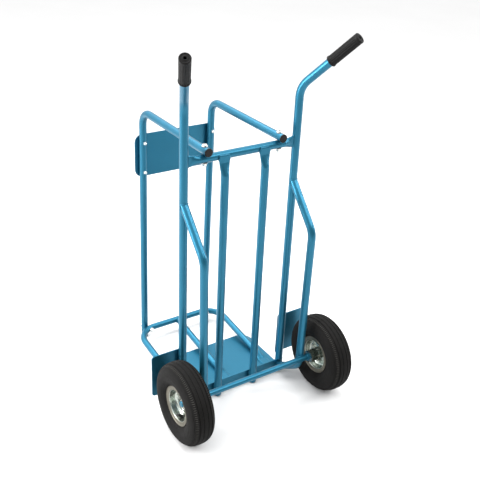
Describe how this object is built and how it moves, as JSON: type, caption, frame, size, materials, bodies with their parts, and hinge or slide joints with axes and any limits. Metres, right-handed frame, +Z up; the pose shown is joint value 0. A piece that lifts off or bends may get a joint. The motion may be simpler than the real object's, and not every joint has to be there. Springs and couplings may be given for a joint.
{
  "type": "hand truck",
  "caption": "Tall two-wheeled hand truck: tubular steel frame, toe plate, pneumatic wheels, and a fixed front support frame with a cross panel for tall loads.",
  "frame": {"origin": "on the ground, at the middle of the overall footprint", "axes": "+Z up along the side tubes, the longest direction; -Y towards the load side with the toe plate and front frame; +Y towards the operator; +X to the operator's left, along the axle"},
  "size_m": [0.6024, 0.6888, 1.1852],
  "materials": {
    "blue_paint": "satin blue powder coat on steel",
    "grip_rubber": "matte moulded",
    "black_plastic": "matte",
    "zinc_fastener": "bright zinc plated",
    "tyre_rubber": "matte black rubber",
    "rim_zinc": "zinc plated pressed steel",
    "inner_rubber": "smooth black",
    "bearing_steel": "ground bearing steel"
  },
  "bodies": {
    "frame": {"side_tube_left": "blue_paint", "grip_left": "grip_rubber", "inner_upright_left": "blue_paint", "brace_left": "blue_paint", "wheel_guard_left": "blue_paint", "front_post_left": "blue_paint", "side_tube_right": "blue_paint", "grip_right": "grip_rubber", "inner_upright_right": "blue_paint", "brace_right": "blue_paint", "wheel_guard_right": "blue_paint", "front_post_right": "blue_paint", "cross_bar": "blue_paint", "upright_foot_caps": "blue_paint", "axle": "blue_paint", "axle_collars": "blue_paint", "toe_plate": "blue_paint", "base_loop": "blue_paint", "base_middle_bar": "blue_paint", "front_panel": "blue_paint", "axle_washers": "zinc_fastener", "cotter_pins": "zinc_fastener", "arm_bolts": "zinc_fastener", "arm_washers": "zinc_fastener", "arm_nuts": "zinc_fastener", "panel_bolts": "zinc_fastener", "panel_nuts": "zinc_fastener", "base_washers": "zinc_fastener", "base_nuts": "zinc_fastener", "base_bolts": "zinc_fastener", "arm_end_caps": "black_plastic", "post_foot_plugs": "black_plastic"},
    "wheel_left": {"tyre_left": "tyre_rubber", "inner_tube_left": "inner_rubber", "rim_outer_left": "rim_zinc", "rim_inner_left": "rim_zinc", "hub_left": "rim_zinc", "rim_bolts_left": "zinc_fastener", "rim_nuts_left": "zinc_fastener", "bearing_outer_rings_left": "bearing_steel", "bearing_inner_rings_left": "bearing_steel", "bearing_balls_left": "bearing_steel", "valve_left": "inner_rubber"},
    "wheel_right": {"tyre_right": "tyre_rubber", "inner_tube_right": "inner_rubber", "rim_outer_right": "rim_zinc", "rim_inner_right": "rim_zinc", "hub_right": "rim_zinc", "rim_bolts_right": "zinc_fastener", "rim_nuts_right": "zinc_fastener", "bearing_outer_rings_right": "bearing_steel", "bearing_inner_rings_right": "bearing_steel", "bearing_balls_right": "bearing_steel", "valve_right": "inner_rubber"}
  },
  "joints": [
    {"name": "wheel_left_spin", "type": "hinge", "parent": "frame", "child": "wheel_left", "pos_m": [0.2596, 0.21437, 0.13], "axis": [1, 0, 0], "continuous": true},
    {"name": "wheel_right_spin", "type": "hinge", "parent": "frame", "child": "wheel_right", "pos_m": [-0.2596, 0.21437, 0.13], "axis": [1, 0, 0], "continuous": true}
  ]
}
